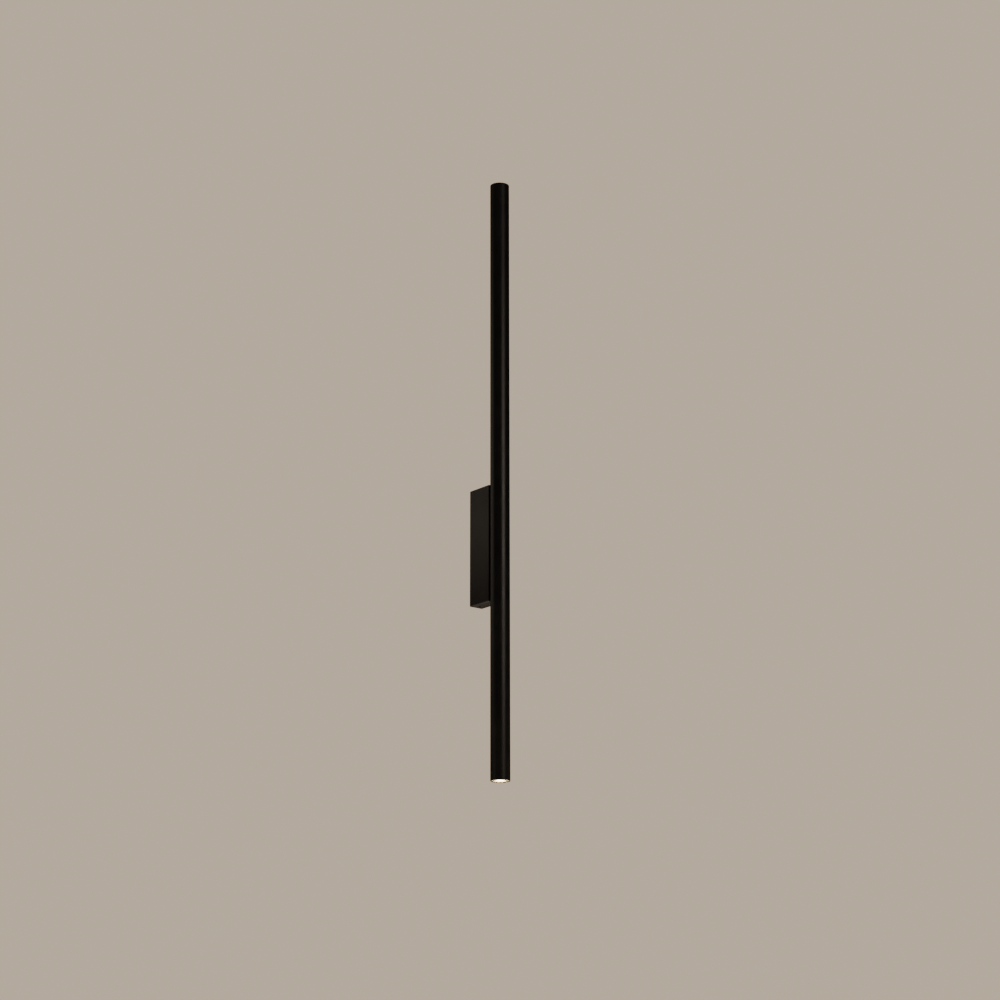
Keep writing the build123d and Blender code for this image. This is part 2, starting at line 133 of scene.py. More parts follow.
class BoxSettings(bpy.types.PropertyGroup):
    side_wall: FloatProperty(
        name="Side wall", description="Thickness of the box's sides", default=1.5 * MM,
        unit="LENGTH",
    )
    front_wall: FloatProperty(
        name="Front wall", description="Thickness of the box's front", default=3.0 * MM,
        unit="LENGTH",
    )
    end_wall: FloatProperty(
        name="End wall", description="Thickness of the box's ends", default=3.0 * MM,
        unit="LENGTH",
    )
    corner_round: FloatProperty(
        name="Corner radius", description="Radius of the box's four corners", default=0.8 * MM,
        unit="LENGTH",
    )
    edge_round: FloatProperty(
        name="Edge radius", description="Radius of the coated edges", default=0.4 * MM,
        unit="LENGTH",
    )


class FixingSettings(bpy.types.PropertyGroup):
    sheet: FloatProperty(
        name="Sheet", description="Thickness of the bracket's steel", default=1.5 * MM,
        unit="LENGTH",
    )
    bend: FloatProperty(
        name="Bend", description="Inner radius of the bracket's two bends", default=1.5 * MM,
        unit="LENGTH",
    )
    slot_width: FloatProperty(
        name="Slot width", description="Width of the slots for the wall screws",
        default=4.5 * MM, unit="LENGTH",
    )
    slot_length: FloatProperty(
        name="Slot length", description="Length of the slots, their round ends included",
        default=10.0 * MM, unit="LENGTH",
    )
    slot_spacing: FloatProperty(
        name="Slot spacing", description="Distance between the slots' middles",
        default=120.0 * MM, unit="LENGTH",
    )
    cable_bore: FloatProperty(
        name="Cable bore", description="Radius of the cable grommet's bore", default=3.5 * MM,
        unit="LENGTH",
    )
    wire_bore: FloatProperty(
        name="Wire bore", description="Radius of the wire grommet's bore", default=3.0 * MM,
        unit="LENGTH",
    )
    mains_radius: FloatProperty(
        name="Mains leads", description="Radius of the live, neutral and earth leads",
        default=1.1 * MM, unit="LENGTH",
    )
    head_radius: FloatProperty(
        name="Head leads", description="Radius of the leads to the two heads",
        default=0.8 * MM, unit="LENGTH",
    )


class OpticSettings(bpy.types.PropertyGroup):
    glow_colour: FloatVectorProperty(
        name="Light", description="Colour of the light in the optics", default=linear("#ffe0a6"),
        subtype="COLOR", size=4, min=0, max=1,
    )
    core_strength: FloatProperty(
        name="Core", description="Brightness of the sunk middle lens", default=15.0, min=0
    )
    ring_strength: FloatProperty(
        name="Ring", description="Brightness of the flange round it", default=0.03, min=0
    )


class StageSettings(bpy.types.PropertyGroup):
    floor_height: FloatProperty(
        name="Floor", description="Height of the floor under the wall screws", default=-1.75,
        unit="LENGTH",
    )
    air_colour: FloatVectorProperty(
        name="Air", description="Colour of the plain surroundings", default=linear("#cfbda6"),
        subtype="COLOR", size=4, min=0, max=1,
    )
    fill: FloatProperty(
        name="Fill", description="Soft light from all round", default=0.018, min=0
    )
    ceiling: FloatProperty(
        name="Ceiling", description="Soft light straight down on the floor", default=0.977, min=0
    )
    key: FloatProperty(
        name="Key", description="Brightness of the softbox in front", default=3.1, min=0
    )
    wall_side: FloatProperty(
        name="Wall side", description="Brightness of the softbox behind", default=0.37, min=0
    )
    strips: FloatProperty(
        name="Strips", description="Brightness of the two low strip lights", default=2.4, min=0
    )


# ---- building materials
def add(tree, kind, settings=None, links=None):
    """Adds a node with its settings and links. A key that isn't a node property is an input."""
    node = tree.nodes.new(kind)
    for key, value in (settings or {}).items():
        if isinstance(key, str) and hasattr(node, key):
            setattr(node, key, value)
        else:
            node.inputs[key].default_value = value
    for key, socket in (links or {}).items():
        tree.links.new(socket, node.inputs[key])
    return node


def blank(name):
    """A new material with an empty node tree."""
    material = bpy.data.materials.new(name)
    material.use_nodes = True
    material.node_tree.nodes.clear()
    return material, material.node_tree


def finish(
    name, low, high, cloud_mm, grain_mm, relief_mm, rough, stretch=(1, 1, 1), metallic=0.0,
    ior=1.5, **shader
):
    """A surface whose colour and roughness drift over cloud_mm, with a relief grain_mm wide."""
    grain_share = 0.35  # how much of the drift in roughness is the grain's
    calm, busy = 0.45, 0.9  # the span in which the cloud and that share of the grain lie
    material, tree = blank(name)
    place = add(tree, "ShaderNodeTexCoord").outputs["Object"]
    along = add(
        tree, "ShaderNodeMapping", {"Scale": tuple(1 / s for s in stretch)}, {"Vector": place}
    ).outputs["Vector"]
    cloud, grain = (
        add(
            tree, "ShaderNodeTexNoise", {"Scale": 1 / (width * MM), "Detail": detail},
            {"Vector": along},
        ).outputs["Fac"]
        for width, detail in ((cloud_mm, 4.0), (grain_mm, 2.0))
    )
    colour = add(
        tree, "ShaderNodeMix", {"data_type": "RGBA", 6: low, 7: high}, {0: cloud}
    ).outputs[2]
    both = add(
        tree, "ShaderNodeMath", {"operation": "MULTIPLY_ADD", 1: grain_share},
        {0: grain, 2: cloud},
    ).outputs[0]
    roughness = add(
        tree, "ShaderNodeMapRange",
        {"From Min": calm, "From Max": busy, "To Min": rough[0], "To Max": rough[1]},
        {"Value": both},
    ).outputs["Result"]
    relief = add(
        tree, "ShaderNodeBump", {"Strength": 1.0, "Distance": relief_mm * MM}, {"Height": grain}
    ).outputs["Normal"]
    surface = add(
        tree, "ShaderNodeBsdfPrincipled", {"Metallic": metallic, "IOR": ior, **shader},
        {"Base Color": colour, "Roughness": roughness, "Normal": relief},
    )
    add(tree, "ShaderNodeOutputMaterial", None, {"Surface": surface.outputs["BSDF"]})
    return material


@functools.cache
def finishes():
    """The finishes of the pieces, by the record's slots, made once."""
    made = {}

    def plain(slot, name, low, high, **surface):
        made[slot] = finish(name, linear(low), linear(high), **surface)

    settings = bpy.context.scene.tube_light_tube
    # Polyester powder coat, black satin, sprayed and baked: a deep black with a soft sheen and a
    # faint orange peel, 0.6 mm across in the real one and drawn at 1.2 mm so that it shows.
    made["black_coat"] = finish(
        "black polyester powder coat", tuple(settings.coat_colour), tuple(settings.coat_cloud),
        cloud_mm=28, grain_mm=1.2, relief_mm=0.05, rough=(0.28, 0.36),
    )
    # Galvanised steel strip, stamped and zinc plated: a cool pale grey with cloudy passivation and
    # fine rolling lines along it.
    plain(
        "zinc_steel", "zinc-plated steel", "#9ba1a6", "#cdcdc6",
        cloud_mm=7, grain_mm=0.5, relief_mm=0.012, rough=(0.24, 0.46), stretch=(1, 1, 9),
        metallic=1.0,
    )
    # Black oxide on a hardened screw: nearly black metal with an oily gleam.
    plain(
        "black_screw", "black-oxide steel", "#1c1c1d", "#2b2a29",
        cloud_mm=2, grain_mm=0.2, relief_mm=0.004, rough=(0.3, 0.42), metallic=0.9,
    )
    # Aluminium, extruded and sawn, left bare: bright grey with drawn lines along the bar.
    plain(
        "bare_aluminium", "mill-finish aluminium", "#bdbec0", "#d3d3d4",
        cloud_mm=6, grain_mm=0.3, relief_mm=0.006, rough=(0.3, 0.42), stretch=(1, 1, 14),
        metallic=1.0,
    )
    # EPDM rubber, moulded: matt near-black with a dusty bloom.
    plain(
        "black_rubber", "moulded EPDM rubber", "#171717", "#242423",
        cloud_mm=3, grain_mm=0.35, relief_mm=0.012, rough=(0.66, 0.82), ior=1.52,
    )
    # Nylon 66, moulded: a milky off-white that lets a little light in.
    plain(
        "white_nylon", "moulded nylon 66", "#d9d6cb", "#e6e3da",
        cloud_mm=7, grain_mm=0.3, relief_mm=0.008, rough=(0.4, 0.52), ior=1.53,
        **{"Subsurface Weight": 0.15, "Subsurface Scale": 1.0 * MM},
    )
    # Stainless strip, cold-rolled and bent: bright with lines along the leaf.
    plain(
        "spring_steel", "cold-rolled stainless strip", "#b5b4b1", "#c9c8c4",
        cloud_mm=3, grain_mm=0.15, relief_mm=0.003, rough=(0.2, 0.32), stretch=(1, 1, 8),
        metallic=1.0,
    )
    # Copper, stamped and tin plated: soft silvery grey.
    plain(
        "tinned_copper", "tin-plated copper", "#b9b5ad", "#cfccc6",
        cloud_mm=3, grain_mm=0.2, relief_mm=0.004, rough=(0.26, 0.4), metallic=1.0,
    )
    # PVC insulation, extruded over the strands: smooth and faintly glossy, in the wiring colours.
    sleeves = {
        "live_sleeve": ("brown PVC insulation", "#5b3420", "#6a3f28"),
        "neutral_sleeve": ("blue PVC insulation", "#1f5aa8", "#2b6ab8"),
        "red_sleeve": ("red PVC insulation", "#a81e1a", "#b92b24"),
        "white_sleeve": ("white PVC insulation", "#dedcd6", "#e9e7e2"),
        "black_sleeve": ("black PVC insulation", "#161616", "#222222"),
    }
    for slot, (name, low, high) in sleeves.items():
        plain(
            slot, name, low, high,
            cloud_mm=5, grain_mm=0.4, relief_mm=0.006, rough=(0.34, 0.46), ior=1.53,
        )
    # Polycarbonate, moulded with a spark-eroded texture: fine matt grain, pale grey-white.
    plain(
        "driver_plastic", "spark-textured polycarbonate", "#d5d5d1", "#dfdfdc",
        cloud_mm=8, grain_mm=0.4, relief_mm=0.02, rough=(0.5, 0.62), ior=1.58,
    )
    # Epoxy glass board under solder resist: deep green with copper tracks showing through paler.
    plain(
        "board_green", "green solder resist", "#0f4a2a", "#1e6b3d",
        cloud_mm=1.8, grain_mm=0.8, relief_mm=0.02, rough=(0.24, 0.36), stretch=(1, 1, 4),
    )
    # Manganese-zinc ferrite, pressed and ground: charcoal, dull, with a crisp grain.
    plain(
        "ferrite", "ground ferrite", "#2c2c2e", "#3c3c3f",
        cloud_mm=2, grain_mm=0.25, relief_mm=0.01, rough=(0.5, 0.66), ior=1.9,
    )
    # PET sleeve, shrunk on the cans: tight and glossy, nearly black.
    plain(
        "capacitor_sleeve", "heat-shrunk PET sleeve", "#15161f", "#20222c",
        cloud_mm=4, grain_mm=1.5, relief_mm=0.01, rough=(0.16, 0.28), ior=1.57,
    )
    # Closed-cell polyethylene foam tape: white, matt and pitted.
    plain(
        "foam_tape", "polyethylene foam tape", "#d2d1ca", "#e2e1db",
        cloud_mm=2, grain_mm=0.5, relief_mm=0.08, rough=(0.75, 0.9), ior=1.51,
    )
    # Polycarbonate with white pigment, moulded smooth round the optic: bright, clean and satin.
    plain(
        "holder_plastic", "white moulded polycarbonate", "#e0dfd9", "#ecebe6",
        cloud_mm=4, grain_mm=0.3, relief_mm=0.004, rough=(0.3, 0.42), ior=1.58,
    )
    # White solder resist printed on an aluminium core: chalky white, slightly uneven.
    plain(
        "board_white", "white solder resist", "#dcdcd8", "#e8e8e5",
        cloud_mm=3, grain_mm=0.4, relief_mm=0.01, rough=(0.36, 0.5),
    )
    # Silicone tape filled with oxide: soft, grey and dead matt.
    plain(
        "thermal_tape", "filled silicone tape", "#7c7c80", "#8a8a8e",
        cloud_mm=2, grain_mm=0.3, relief_mm=0.02, rough=(0.7, 0.85), ior=1.41,
    )
    made["earth_sleeve"] = striped_insulation()
    made["lens_acrylic"] = lit_acrylic(bpy.context.scene.tube_light_optics)
    made["emitter"] = phosphor(bpy.context.scene.tube_light_optics)
    return made


def striped_insulation():
    """PVC insulation, co-extruded in two colours: a green side and a yellow side along the wire."""
    material, tree = blank("green and yellow PVC insulation")
    blur = 0.1 * MM  # to each side of the line between the two colours
    place = add(tree, "ShaderNodeTexCoord").outputs["Object"]
    sideways = add(tree, "ShaderNodeSeparateXYZ", None, {"Vector": place}).outputs["X"]
    side = add(
        tree, "ShaderNodeMapRange", {"From Min": -blur, "From Max": blur}, {"Value": sideways}
    ).outputs["Result"]
    colour = add(
        tree, "ShaderNodeMix",
        {"data_type": "RGBA", 6: linear("#3f8f2c"), 7: linear("#e3c81f")}, {0: side}
    ).outputs[2]
    surface = add(
        tree, "ShaderNodeBsdfPrincipled", {"Roughness": 0.4, "IOR": 1.53}, {"Base Color": colour}
    )
    add(tree, "ShaderNodeOutputMaterial", None, {"Surface": surface.outputs["BSDF"]})
    return material


def distance_from_axis(tree):
    """The distance of a point from the tube's axis, in metres."""
    place = add(tree, "ShaderNodeTexCoord").outputs["Object"]
    moved = add(
        tree, "ShaderNodeVectorMath", {"operation": "SUBTRACT", 1: (0, TUBE_AXIS.y, 0)}, {0: place}
    ).outputs["Vector"]
    flat = add(
        tree, "ShaderNodeVectorMath", {"operation": "MULTIPLY", 1: (1, 1, 0)}, {0: moved}
    ).outputs["Vector"]
    return add(
        tree, "ShaderNodeVectorMath", {"operation": "LENGTH"}, {0: flat}
    ).outputs["Value"]


def lit_acrylic(settings):
    """Acrylic, moulded and polished, with the light of its LED in it: a white-hot sunk lens in the
    middle, a calm ring round it, and a bright line where the flange turns down."""
    material, tree = blank("polished acrylic, lit")
    # The glow from the axis outwards: radii in millimetres, and shares of the middle's glow.
    reach = 11.5
    ring = settings.ring_strength / settings.core_strength
    stops = ((0.0, 1.0), (5.9, 0.9), (6.8, ring), (10.3, ring), (11.0, 3.5 * ring))
    share = add(
        tree, "ShaderNodeMapRange", {"From Max": reach * MM}, {"Value": distance_from_axis(tree)}
    ).outputs["Result"]
    glow = add(tree, "ShaderNodeValToRGB", None, {"Fac": share})
    bar = glow.color_ramp
    while len(bar.elements) < len(stops):
        bar.elements.new(0.5)
    for element, (place, level) in zip(bar.elements, stops):
        element.position = place / reach
        element.color = (level, level, level, 1)
    # The front glows at full strength to a depth of 2.2 mm. From 2.6 mm on, the flank is dim.
    full, dim, flank_share = 2.2 * MM, 2.6 * MM, 0.01
    place = add(tree, "ShaderNodeTexCoord").outputs["Object"]
    height = add(tree, "ShaderNodeSeparateXYZ", None, {"Vector": place}).outputs["Z"]
    from_middle = add(
        tree, "ShaderNodeMath", {"operation": "SUBTRACT", 1: TUBE_AXIS.z}, {0: height}
    ).outputs[0]
    from_middle = add(
        tree, "ShaderNodeMath", {"operation": "ABSOLUTE"}, {0: from_middle}
    ).outputs[0]
    end = tube_high.z - TUBE_AXIS.z
    front = add(
        tree, "ShaderNodeMapRange",
        {
            "From Min": end - dim, "From Max": end - full,
            "To Min": flank_share * settings.core_strength, "To Max": settings.core_strength,
        },
        {"Value": from_middle},
    ).outputs["Result"]
    strength = add(
        tree, "ShaderNodeMath", {"operation": "MULTIPLY"}, {0: glow.outputs["Color"], 1: front}
    ).outputs[0]
    surface = add(
        tree, "ShaderNodeBsdfPrincipled",
        {
            "Base Color": linear("#f4f2ec"), "Roughness": 0.06, "IOR": 1.49,
            "Transmission Weight": 0.85, "Emission Color": tuple(settings.glow_colour),
        },
        {"Emission Strength": strength},
    )
    add(tree, "ShaderNodeOutputMaterial", None, {"Surface": surface.outputs["BSDF"]})
    return material


def phosphor(settings):
    """Alumina ceramic with silicone-bound phosphor on it: a white base with a glowing yellow
    spot."""
    material, tree = blank("lit phosphor on alumina")
    lit_radius, base_radius = 1.3 * MM, 1.9 * MM
    lit = add(
        tree, "ShaderNodeMapRange",
        {"From Min": base_radius, "From Max": lit_radius, "To Max": settings.core_strength},
        {"Value": distance_from_axis(tree)},
    ).outputs["Result"]
    colour = add(
        tree, "ShaderNodeMix",
        {"data_type": "RGBA", 6: linear("#e9e7e0"), 7: linear("#e8b54a")}, {0: lit}
    ).outputs[2]
    surface = add(
        tree, "ShaderNodeBsdfPrincipled",
        {"Roughness": 0.5, "IOR": 1.5, "Emission Color": tuple(settings.glow_colour)},
        {"Base Color": colour, "Emission Strength": lit},
    )
    add(tree, "ShaderNodeOutputMaterial", None, {"Surface": surface.outputs["BSDF"]})
    return material


# ---- building shapes
def arc(middle, radius, start, end, steps):
    """Points on an arc, its two ends included. The angles are in degrees."""
    angles = [math.radians(start + (end - start) * i / steps) for i in range(steps + 1)]
    return [(middle[0] + radius * math.cos(a), middle[1] + radius * math.sin(a)) for a in angles]


def circle(middle, radius, sides):
    """Points all round a circle."""
    return arc(middle, radius, 0, 360 * (sides - 1) / sides, sides - 1)


def rounded(corners, radius, steps=5, shoulder=0.0):
    """A closed outline with its corners rounded, and a point a shoulder before and after each."""
    points = []
    count = len(corners)
    for i, corner in enumerate(corners):
        here = Vector(corner)
        back = (Vector(corners[i - 1]) - here).normalized()
        ahead = (Vector(corners[(i + 1) % count]) - here).normalized()
        half = back.angle(ahead) / 2
        reach = radius / math.tan(half)
        centre = here + (back + ahead).normalized() * (radius / math.sin(half))
        first = here + back * reach - centre
        turn = first.angle_signed(here + ahead * reach - centre)
        if shoulder:
            points.append(here + back * (reach + shoulder))
        for step in range(steps + 1):
            points.append(centre + Matrix.Rotation(-turn * step / steps, 2) @ first)
        if shoulder:
            points.append(here + ahead * (reach + shoulder))
    return [tuple(p) for p in points]


def spin(shape, outline, place, sides):
    """Adds the solid that a closed (radius, height) outline makes when it turns about place's Z."""
    rings = []
    for radius, height in outline:
        count = sides if radius > 1e-7 else 1
        rings.append([
            shape.verts.new(
                place @ Vector((
                    radius * math.cos(TURN * i / sides), radius * math.sin(TURN * i / sides), height
                ))
            )
            for i in range(count)
        ])
    for number, ring in enumerate(rings):
        other = rings[(number + 1) % len(rings)]
        for i in range(sides):
            j = i + 1
            corners = [
                ring[i % len(ring)], ring[j % len(ring)], other[j % len(other)],
                other[i % len(other)],
            ]
            corners = list(dict.fromkeys(corners))
            if len(corners) > 2:
                shape.faces.new(corners)


def prism(shape, outline, place, length):
    """Adds the solid that a closed outline in place's XY makes when it is drawn along its Z."""
    ends = []
    for height in (0.0, length):
        ends.append([shape.verts.new(place @ Vector((x, y, height))) for x, y in outline])
    low, high = ends
    shape.faces.new(low)
    shape.faces.new(high)
    for i in range(len(outline)):
        j = (i + 1) % len(outline)
        shape.faces.new((low[i], low[j], high[j], high[i]))


def wrap(shape, rings, place):
    """Adds the solid inside a stack of rings. A ring is its height, and its radii all round."""
    layers = []
    for height, radii in rings:
        angles = [TURN * i / len(radii) for i in range(len(radii))]
        layers.append([
            shape.verts.new(place @ Vector((r * math.cos(a), r * math.sin(a), height)))
            for r, a in zip(radii, angles)
        ])
    skin(shape, layers)


def skin(shape, rings):
    """Joins a row of rings of corners into a closed solid."""
    for one, two in zip(rings, rings[1:]):
        for i in range(len(one)):
            shape.faces.new((one[i - 1], one[i], two[i], two[i - 1]))
    shape.faces.new(rings[0])
    shape.faces.new(rings[-1])


def shade(mesh, sharp):
    """Shades a mesh smooth, apart from the edges that turn more than the sharp angle."""
    for face in mesh.polygons:
        face.use_smooth = True
    mesh.set_sharp_from_angle(angle=math.radians(sharp))


def solid(name, build, *details, sharp=SHARP):
    """An object whose mesh the build function fills from the details."""
    shape = bmesh.new()
    build(shape, *details)
    bmesh.ops.recalc_face_normals(shape, faces=shape.faces)
    mesh = bpy.data.meshes.new(name)
    shape.to_mesh(mesh)
    shape.free()
    shade(mesh, sharp)
    piece = bpy.data.objects.new(name, mesh)
    bpy.context.scene.collection.objects.link(piece)
    return piece


def cut(piece, build, *details):
    """Cuts what the build function makes from the details out of the piece, for good."""
    tool = solid("cutter", build, *details)
    modifier = piece.modifiers.new("cut", "BOOLEAN")
    modifier.operation = "DIFFERENCE"
    modifier.solver = "EXACT"
    modifier.object = tool
    bpy.context.view_layer.update()
    done = piece.evaluated_get(bpy.context.evaluated_depsgraph_get())
    mesh = bpy.data.meshes.new_from_object(done)
    mesh.name = piece.name
    piece.modifiers.clear()
    uncut, piece.data = piece.data, mesh
    bpy.data.meshes.remove(uncut)
    shade(mesh, SHARP)
    bpy.data.objects.remove(tool)


def soften(piece, width, segments=3):
    """Rounds the piece's sharp edges, and keeps its flat faces flat in the light."""
    modifier = piece.modifiers.new("soft edges", "BEVEL")
    modifier.width = width
    modifier.segments = segments
    modifier.limit_method = "ANGLE"
    modifier.angle_limit = math.radians(SHARP)
    modifier.harden_normals = True


def paint(piece, slot):
    """Gives a piece the finish of a slot."""
    piece.data.materials.clear()
    piece.data.materials.append(finishes()[slot])


def dress(piece, slot, node):
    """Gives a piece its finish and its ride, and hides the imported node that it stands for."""
    paint(piece, slot)
    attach(piece, BODY)
    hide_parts(node)


def across(x, y, z, direction):
    """A place whose Z looks along a world direction."""
    turn = Vector(direction).to_track_quat("Z", "Y").to_matrix().to_4x4()
    return Matrix.Translation((x, y, z)) @ turn


def drill(shape, radius, reach, place, sides=48):
    """Adds a round drill that reaches as far to each side of its place."""
    spin(shape, [(0, -reach), (radius, -reach), (radius, reach), (0, reach)], place, sides)


# ---- operators, one to each piece
class LIGHT_OT_tube(bpy.types.Operator):
    """Builds the tube with its rounded rims and the holes in its back"""
    bl_idname = "tube_light.tube"
    bl_label = "Tube"

    def execute(self, context):
        settings = context.scene.tube_light_tube
        bore = TUBE_RADIUS - settings.wall
        corners = [
            (TUBE_RADIUS, tube_low.z), (TUBE_RADIUS, tube_high.z), (bore, tube_high.z),
            (bore, tube_low.z),
        ]
        outline = rounded(corners, settings.rim_round, shoulder=0.15 * MM)
        tube = solid("tube_body", spin, outline, TUBE_PLACE, TUBE_SIDES)
        back = TUBE_AXIS.y + TUBE_RADIUS
        through = 3 * MM

        def holes(shape):
            for radius, height in BACK_HOLES:
                drill(shape, radius, through, across(TUBE_AXIS.x, back, height, (0, 1, 0)))

        cut(tube, holes)
        dress(tube, "black_coat", "tube")
        return {"FINISHED"}


class LIGHT_OT_wall_box(bpy.types.Operator):
    """Builds the wall box, with the round seat that the tube lies in"""
    bl_idname = "tube_light.wall_box"
    bl_label = "Wall box"

    def execute(self, context):
        settings = context.scene.tube_light_box
        face = [
            (box_low.x, box_low.z), (box_high.x, box_low.z), (box_high.x, box_high.z),
            (box_low.x, box_high.z),
        ]
        depth = box_high.y - box_low.y
        box = solid("wall_box_body", prism, rounded(face, settings.corner_round), UPRIGHT, depth)
        cut(box, drill, TUBE_RADIUS, box_high.z + MM, TUBE_PLACE, TUBE_SIDES)  # the tube's seat
        front = box_low.y + settings.front_wall
        x, z = box_high.x - settings.side_wall, box_high.z - settings.end_wall
        ahead = MM  # the pocket's open side, past the wall's face
        place = Matrix.Translation((0, ahead, 0)) @ UPRIGHT
        cut(box, prism, [(-x, -z), (x, -z), (x, z), (-x, z)], place, ahead - front)
        through = 6 * MM

        def holes(shape):
            for radius, height in BACK_HOLES:
                drill(shape, radius, through, across(0, front, height, (0, 1, 0)))
            drill(
                shape, GRUB_RADIUS, through, Matrix.Translation((GRUB.x, GRUB.y, box_low.z))
            )

        cut(box, holes)
        soften(box, settings.edge_round)
        dress(box, "black_coat", "wall_box")
        return {"FINISHED"}


class LIGHT_OT_optics(bpy.types.Operator):
    """Builds the optic in each end of the tube"""
    bl_idname = "tube_light.optics"
    bl_label = "Optics"

    SIDES = 96

    def execute(self, context):
        outline = self.outline()
        for end, side in ((tube_high.z, 1), (tube_low.z, -1)):
            axis = Matrix.Translation((TUBE_AXIS.x, TUBE_AXIS.y, end))
            axis = axis @ Matrix.Scale(side, 4, (0, 0, 1))
            name = "upper_optic" if side > 0 else "lower_optic"
            optic = solid(name, spin, outline, axis, self.SIDES, sharp=25.0)
            dress(optic, "lens_acrylic", "lenses")
        return {"FINISHED"}

    def outline(self):
        """The optic's half section: its radius, and its height above the tube's end, in metres.
        The numbers are millimetres."""
        face, flange_back, base, dome_top, well_top = -0.3, -1.5, -10.2, -0.9, -6.6  # heights
        flange, flank_top, sunk, base_radius, led_well = 11.3, 10.2, 6.5, 4.6, 2.9  # radii
        bevel, dome_rise, well_rise, flank_bow = 0.15, 1.1, 0.8, 14.0
        dome = self.cap(sunk, dome_rise, dome_top)
        well = self.cap(led_well, well_rise, well_top)
        flank = self.bow((flank_top, flange_back), (base_radius, base), flank_bow)
        points = dome + [(sunk, face), (flange - bevel, face), (flange, face - bevel)]
        points += [(flange, flange_back)] + flank + [(led_well, base)] + well[::-1]
        return [(x * MM, z * MM) for x, z in points]

    def cap(self, radius, rise, top, steps=10):
        """A shallow dome's section, from its middle to its rim."""
        ball = (radius * radius + rise * rise) / (2 * rise)
        reach = math.degrees(math.asin(radius / ball))
        return arc((0, top - ball), ball, 90, 90 - reach, steps)

    def bow(self, start, end, radius, steps=14):
        """An arc from start to end that bows outwards."""
        a, b = Vector(start), Vector(end)
        half = (b - a) / 2
        inwards = Vector((half.y, -half.x)).normalized()
        centre = a + half + inwards * math.sqrt(radius * radius - half.length_squared)
        angles = [math.degrees(math.atan2(p.y - centre.y, p.x - centre.x)) for p in (a, b)]
        return arc(centre, radius, angles[0], angles[1], steps)


class LIGHT_OT_bracket(bpy.types.Operator):
    """Builds the bent steel bracket behind the box"""
    bl_idname = "tube_light.bracket"
    bl_label = "Wall bracket"

    def execute(self, context):
        settings = context.scene.tube_light_fixing
        sheet, bend = settings.sheet, settings.bend
        tab = bracket_low.y
        low, high = bracket_low.z, bracket_high.z
        half = bracket_high.x
        place = Matrix.Translation((-half, 0, 0)) @ Matrix.Rotation(math.radians(90), 4, "Y")
        inner_low, inner_high = low + sheet, high - sheet
        points = [(-low, tab)]
        points += self.corner(-low, 0, bend + sheet, 1)
        points += self.corner(-high, 0, bend + sheet, -1)
        points += [(-high, tab), (-inner_high, tab)]
        points += self.corner(-inner_high, -sheet, bend, -1)[::-1]
        points += self.corner(-inner_low, -sheet, bend, 1)[::-1]
        points += [(-inner_low, tab)]
        bracket = solid("bracket_strip", prism, points, place, 2 * half)
        radius = settings.slot_width / 2
        straight = settings.slot_length / 2 - radius
        foot_width, foot_height = 8 * MM, 4 * MM  # the window for the terminal block's foot
        foot = (block_low.z + block_high.z) / 2
        steps, sides = 16, 48  # of a slot's round end, and of a round hole
        clearance, through = 0.1 * MM, 3 * MM

        def holes(shape):
            for height in (settings.slot_spacing / 2, -settings.slot_spacing / 2):
                slot = arc((0, height + straight), radius, 0, 180, steps)
                slot += arc((0, height - straight), radius, 180, 360, steps)
                self.pierce(shape, slot)
            self.pierce(shape, circle((0, CABLE_HOLE.z), CABLE_HOLE_RADIUS, sides))
            self.pierce(shape, circle((0, EARTH_SCREW.z), M4, sides))
            self.pierce(shape, [
                (x * foot_width / 2, foot + z * foot_height / 2)
                for x, z in ((-1, -1), (1, -1), (1, 1), (-1, 1))
            ])
            drill(
                shape, GRUB_RADIUS + clearance, through,
                Matrix.Translation((GRUB.x, GRUB.y, low)),
            )

        cut(bracket, holes)
        soften(bracket, width=0.18 * MM, segments=2)
        dress(bracket, "zinc_steel", "wall_bracket")
        return {"FINISHED"}

    def corner(self, x, y, radius, sign, steps=8):
        """The quarter round of a bend, from the tab to the strip."""
        middle = (x - sign * radius, y - radius)
        start, end = (0, 90) if sign > 0 else (90, 180)
        return arc(middle, radius, start, end, steps)

    def pierce(self, shape, outline):
        """Adds a punch through the strip."""
        start, length = MM, 3 * MM
        prism(shape, outline, Matrix.Translation((0, start, 0)) @ UPRIGHT, length)


class LIGHT_OT_grommets(bpy.types.Operator):
    """Builds the two rubber grommets"""
    bl_idname = "tube_light.grommets"
    bl_label = "Grommets"

    def execute(self, context):
        settings = context.scene.tube_light_fixing
        self.ring("cable_grommet", settings.cable_bore, 1)
        self.ring("wire_grommet", settings.wire_bore, -1)
        return {"FINISHED"}

    def ring(self, node, bore, side, sides=72):
        """A bush with its lip at the room's end (1) or the wall's end (-1)."""
        low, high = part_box(node)
        middle = (low + high) / 2
        length = high.y - low.y
        flange = (high.x - low.x) / 2
        sleeve = flange - GROMMET_LIP
        corners = [
            (bore, 0), (flange, 0), (flange, GROMMET_LIP), (sleeve, GROMMET_LIP),
            (sleeve, length), (bore, length),
        ]
        outline = rounded(corners, radius=0.12 * MM, steps=3, shoulder=0.05 * MM)
        place = across(middle.x, low.y if side > 0 else high.y, middle.z, (0, side, 0))
        bush = solid(node + "_ring", spin, outline, place, sides)
        dress(bush, "black_rubber", node)


